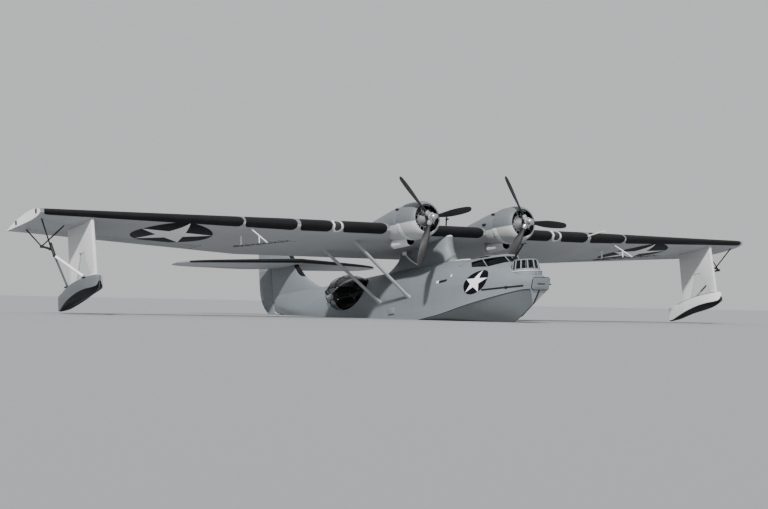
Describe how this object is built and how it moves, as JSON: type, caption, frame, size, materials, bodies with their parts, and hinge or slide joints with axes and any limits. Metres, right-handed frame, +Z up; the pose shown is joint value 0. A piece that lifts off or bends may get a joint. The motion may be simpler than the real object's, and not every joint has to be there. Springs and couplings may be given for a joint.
{
  "type": "patrol flying boat",
  "caption": "Twin-engined parasol-wing patrol flying boat, planing nose-up, with lowered wing floats, waist blisters, bow turret and movable control surfaces.",
  "frame": {"origin": "on the water plane, under the hull station 8 m aft of the bow, where the planing hull turns", "axes": "+X towards the port wing tip, -Y forward, +Z up from the water; the hull is nose-up by 6.3 degrees as it planes"},
  "size_m": [30.9, 18.9566, 6.13],
  "materials": {
    "topside_paint": "non-specular blue-grey aircraft paint, weathered",
    "underside_paint": "light grey aircraft paint, weathered",
    "white_paint": "white paint on struts and rods",
    "fabric_cover": "doped fabric over ribs, blue-grey",
    "engine_metal": "grey crankcase and finned cylinders",
    "blade_paint": "matt black blades on a bright hub",
    "dark_steel": "blackened steel",
    "cabin_paint": "dull green cabin paint",
    "glazing": "clear acrylic panes"
  },
  "bodies": {
    "airframe": {"hull_bow": "topside_paint", "hull_cockpit": "topside_paint", "hull_midships": "topside_paint", "hull_waist": "topside_paint", "hull_tail": "topside_paint", "canopy_frame": "topside_paint", "canopy_glass": "glazing", "pilots_seats": "cabin_paint", "instrument_panel": "cabin_paint", "blister_left": "glazing", "blister_right": "glazing", "waist_gun_left": "dark_steel", "waist_gun_right": "dark_steel", "pylon": "topside_paint", "wing_centre": "topside_paint", "wing_outer_left": "topside_paint", "wing_outer_right": "topside_paint", "strut_front_left": "topside_paint", "strut_rear_left": "topside_paint", "strut_front_right": "topside_paint", "strut_rear_right": "topside_paint", "cowl_left": "topside_paint", "cowl_right": "topside_paint", "engine_left": "engine_metal", "engine_right": "engine_metal", "nacelle_left": "topside_paint", "nacelle_right": "topside_paint", "oil_cooler_left": "underside_paint", "oil_cooler_right": "underside_paint", "fin": "topside_paint", "stabilizer_left": "topside_paint", "stabilizer_right": "topside_paint", "float_left": "underside_paint", "float_right": "underside_paint", "float_panel_left": "white_paint", "float_panel_right": "white_paint", "float_brace_left": "white_paint", "float_brace_right": "white_paint", "aerial_left": "white_paint", "aerial_right": "white_paint", "forward_mast": "dark_steel", "beaching_pad_left": "topside_paint", "beaching_pad_right": "topside_paint", "mooring_post": "dark_steel"},
    "propeller_left": {"propeller_left": "blade_paint"},
    "propeller_right": {"propeller_right": "blade_paint"},
    "aileron_left": {"aileron_left": "fabric_cover"},
    "aileron_right": {"aileron_right": "fabric_cover"},
    "elevators": {"elevator_left": "fabric_cover", "elevator_right": "fabric_cover"},
    "rudder": {"rudder": "fabric_cover"},
    "turret": {"turret_frame": "topside_paint", "turret_glass": "glazing"},
    "blister_hatch_left": {"blister_hatch_left": "glazing"},
    "blister_hatch_right": {"blister_hatch_right": "glazing"}
  },
  "joints": [
    {"name": "propeller_left_spin", "type": "hinge", "parent": "airframe", "child": "propeller_left", "pos_m": [2.105, -3.6735, 3.5688], "axis": [0, -0.9939, 0.1103], "continuous": true},
    {"name": "propeller_right_spin", "type": "hinge", "parent": "airframe", "child": "propeller_right", "pos_m": [-2.105, -3.6735, 3.5688], "axis": [0, -0.9939, 0.1103], "continuous": true},
    {"name": "aileron_left_hinge", "type": "hinge", "parent": "airframe", "child": "aileron_left", "pos_m": [8.4, 1.4032, 2.567], "axis": [0.9989, -0.0211, 0.0423], "range_deg": [-20, 20]},
    {"name": "aileron_right_hinge", "type": "hinge", "parent": "airframe", "child": "aileron_right", "pos_m": [-8.4, 1.4032, 2.567], "axis": [0.9989, 0.0211, -0.0423], "range_deg": [-20, 20]},
    {"name": "elevators_hinge", "type": "hinge", "parent": "airframe", "child": "elevators", "pos_m": [0, 10.1372, 1.9958], "axis": [1, 0, 0], "range_deg": [-20, 30]},
    {"name": "rudder_hinge", "type": "hinge", "parent": "airframe", "child": "rudder", "pos_m": [0, 10.408, 0.8087], "axis": [0, 0.1103, 0.9939], "range_deg": [-25, 25]},
    {"name": "turret_turn", "type": "hinge", "parent": "airframe", "child": "turret", "pos_m": [0, -6.4032, 1.8192], "axis": [0, 0.1103, 0.9939], "range_deg": [-90, 90]},
    {"name": "blister_left_slide_up", "type": "hinge", "parent": "airframe", "child": "blister_hatch_left", "pos_m": [1.15, 2.9041, 0.9171], "axis": [0, -0.9939, 0.1103], "range_deg": [0, 84]},
    {"name": "blister_right_slide_up", "type": "hinge", "parent": "airframe", "child": "blister_hatch_right", "pos_m": [-1.15, 2.9041, 0.9171], "axis": [0, 0.9939, -0.1103], "range_deg": [0, 84]}
  ],
  "couplings": [
    {"joint": "aileron_right_hinge", "follows": "aileron_left_hinge", "ratio": -1}
  ]
}
